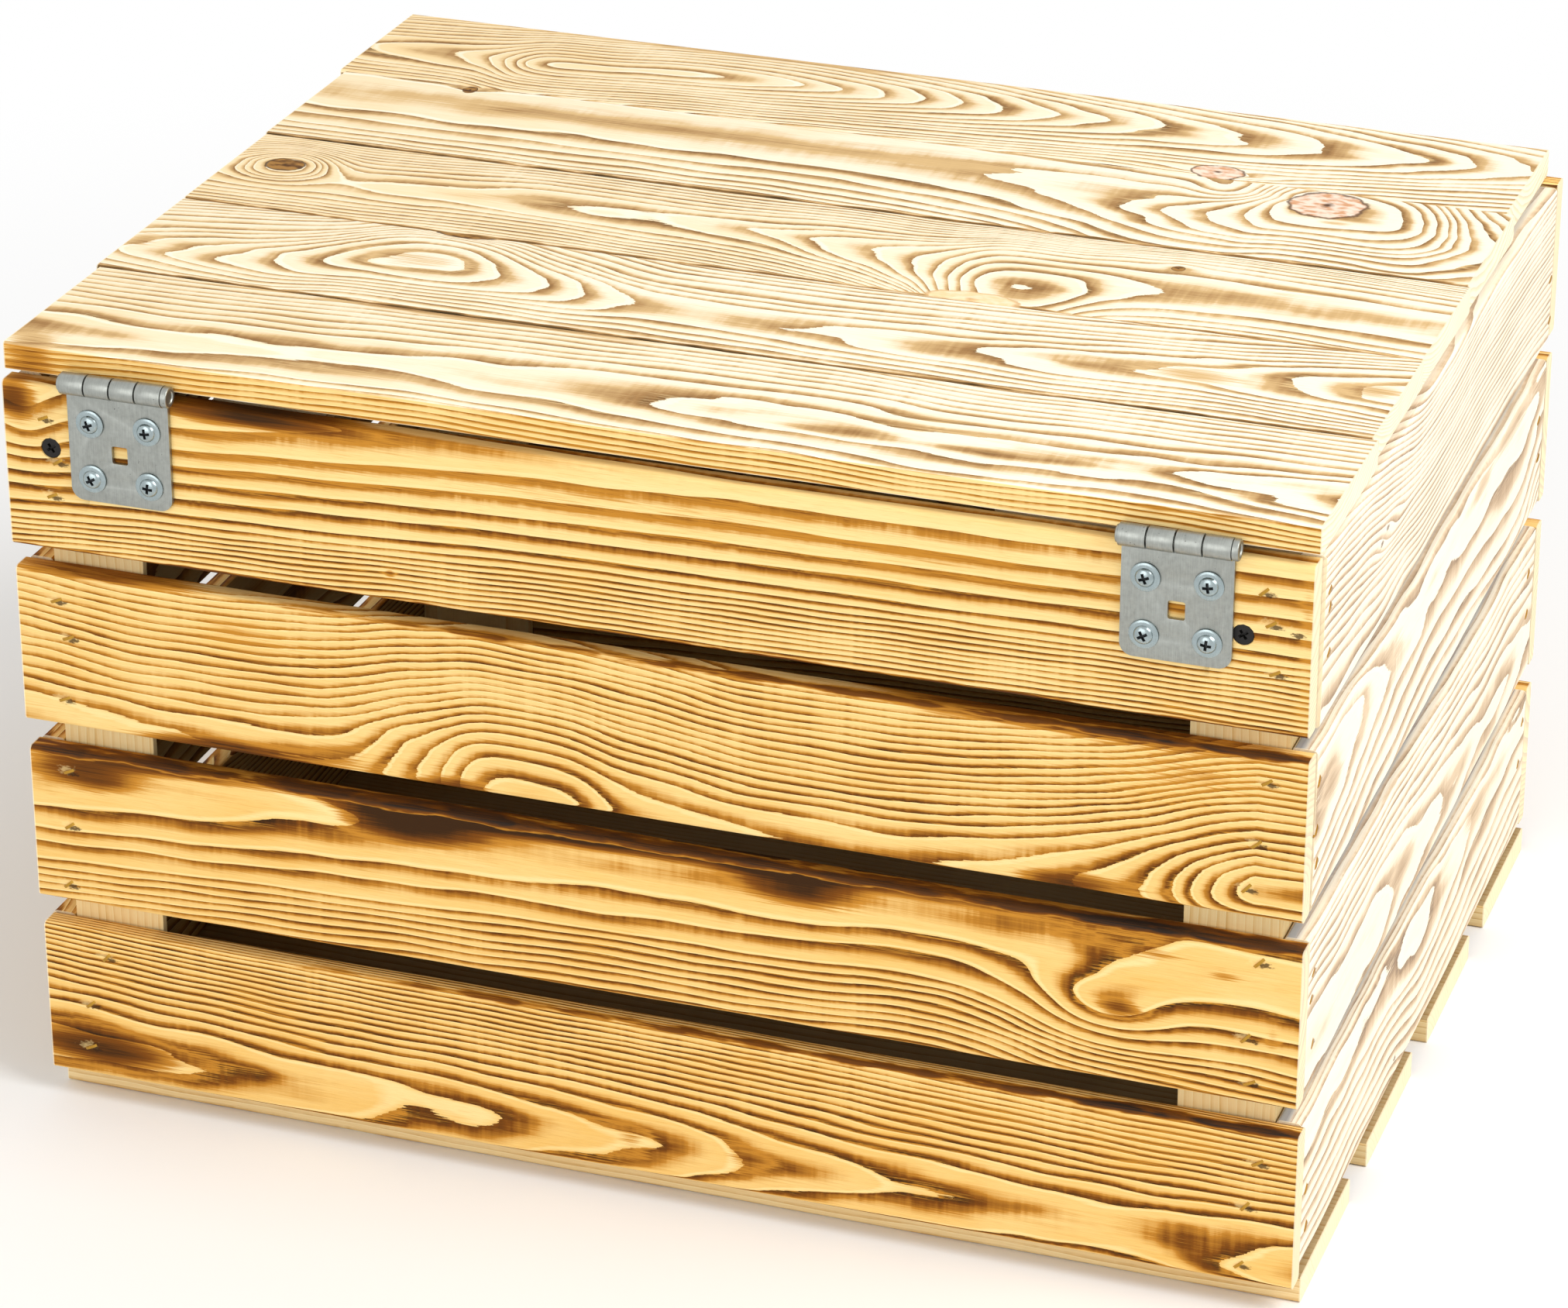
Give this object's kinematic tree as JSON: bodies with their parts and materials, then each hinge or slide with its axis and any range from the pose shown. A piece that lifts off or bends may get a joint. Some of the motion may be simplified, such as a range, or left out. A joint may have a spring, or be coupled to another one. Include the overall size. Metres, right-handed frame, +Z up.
{
  "type": "kindling box",
  "caption": "Slatted crate of scorched softwood with corner posts, open floor boards and a boarded lid on two rolled butt hinges, for storing kindling.",
  "frame": {"origin": "on the ground, under the middle of the whole box's bounding box", "axes": "+Z up, +X along the crate's length, -Y towards the hinge side"},
  "size_m": [0.5084, 0.4088, 0.3177],
  "materials": {
    "scorched_pine": "scorched and brushed softwood, golden with dark latewood lines and charred edges",
    "lid_pine": "planed softwood, pale cream with brown grain and dark knots",
    "floor_pine": "sawn softwood, matt",
    "post_pine": "rough-sawn softwood, lightly scorched",
    "galvanised_steel": "satin zinc-coated steel sheet",
    "zinc_screw": "bright bluish zinc plate",
    "black_screw": "black phosphate"
  },
  "bodies": {
    "box": {"rear_slat_1": "scorched_pine", "front_slat_1": "scorched_pine", "rear_slat_2": "scorched_pine", "front_slat_2": "scorched_pine", "rear_slat_3": "scorched_pine", "front_slat_3": "scorched_pine", "rear_slat_4": "scorched_pine", "front_slat_4": "scorched_pine", "left_slat_1": "scorched_pine", "right_slat_1": "scorched_pine", "left_slat_2": "scorched_pine", "right_slat_2": "scorched_pine", "left_slat_3": "scorched_pine", "right_slat_3": "scorched_pine", "left_slat_4": "scorched_pine", "right_slat_4": "scorched_pine", "rear_left_post": "post_pine", "front_left_post": "post_pine", "rear_right_post": "post_pine", "front_right_post": "post_pine", "floor_board_1": "floor_pine", "floor_board_2": "floor_pine", "floor_board_3": "floor_pine", "floor_board_4": "floor_pine", "black_screw_left": "black_screw", "black_screw_right": "black_screw", "hinge_left_box_leaf": "galvanised_steel", "hinge_left_pin": "galvanised_steel", "hinge_left_box_screw_1": "zinc_screw", "hinge_left_box_screw_2": "zinc_screw", "hinge_left_box_screw_3": "zinc_screw", "hinge_left_box_screw_4": "zinc_screw", "hinge_right_box_leaf": "galvanised_steel", "hinge_right_pin": "galvanised_steel", "hinge_right_box_screw_1": "zinc_screw", "hinge_right_box_screw_2": "zinc_screw", "hinge_right_box_screw_3": "zinc_screw", "hinge_right_box_screw_4": "zinc_screw"},
    "lid": {"lid_board_1": "lid_pine", "lid_board_2": "lid_pine", "lid_board_3": "lid_pine", "lid_board_4": "lid_pine", "lid_board_5": "lid_pine", "lid_batten_left": "floor_pine", "lid_batten_right": "floor_pine", "hinge_left_lid_leaf": "galvanised_steel", "hinge_left_lid_screw_1": "zinc_screw", "hinge_left_lid_screw_2": "zinc_screw", "hinge_left_lid_screw_3": "zinc_screw", "hinge_left_lid_screw_4": "zinc_screw", "hinge_right_lid_leaf": "galvanised_steel", "hinge_right_lid_screw_1": "zinc_screw", "hinge_right_lid_screw_2": "zinc_screw", "hinge_right_lid_screw_3": "zinc_screw", "hinge_right_lid_screw_4": "zinc_screw"}
  },
  "joints": [
    {"name": "lid_hinge", "type": "hinge", "parent": "box", "child": "lid", "pos_m": [0, -0.20018, 0.30685], "axis": [1, 0, 0], "range_deg": [0, 210]}
  ]
}
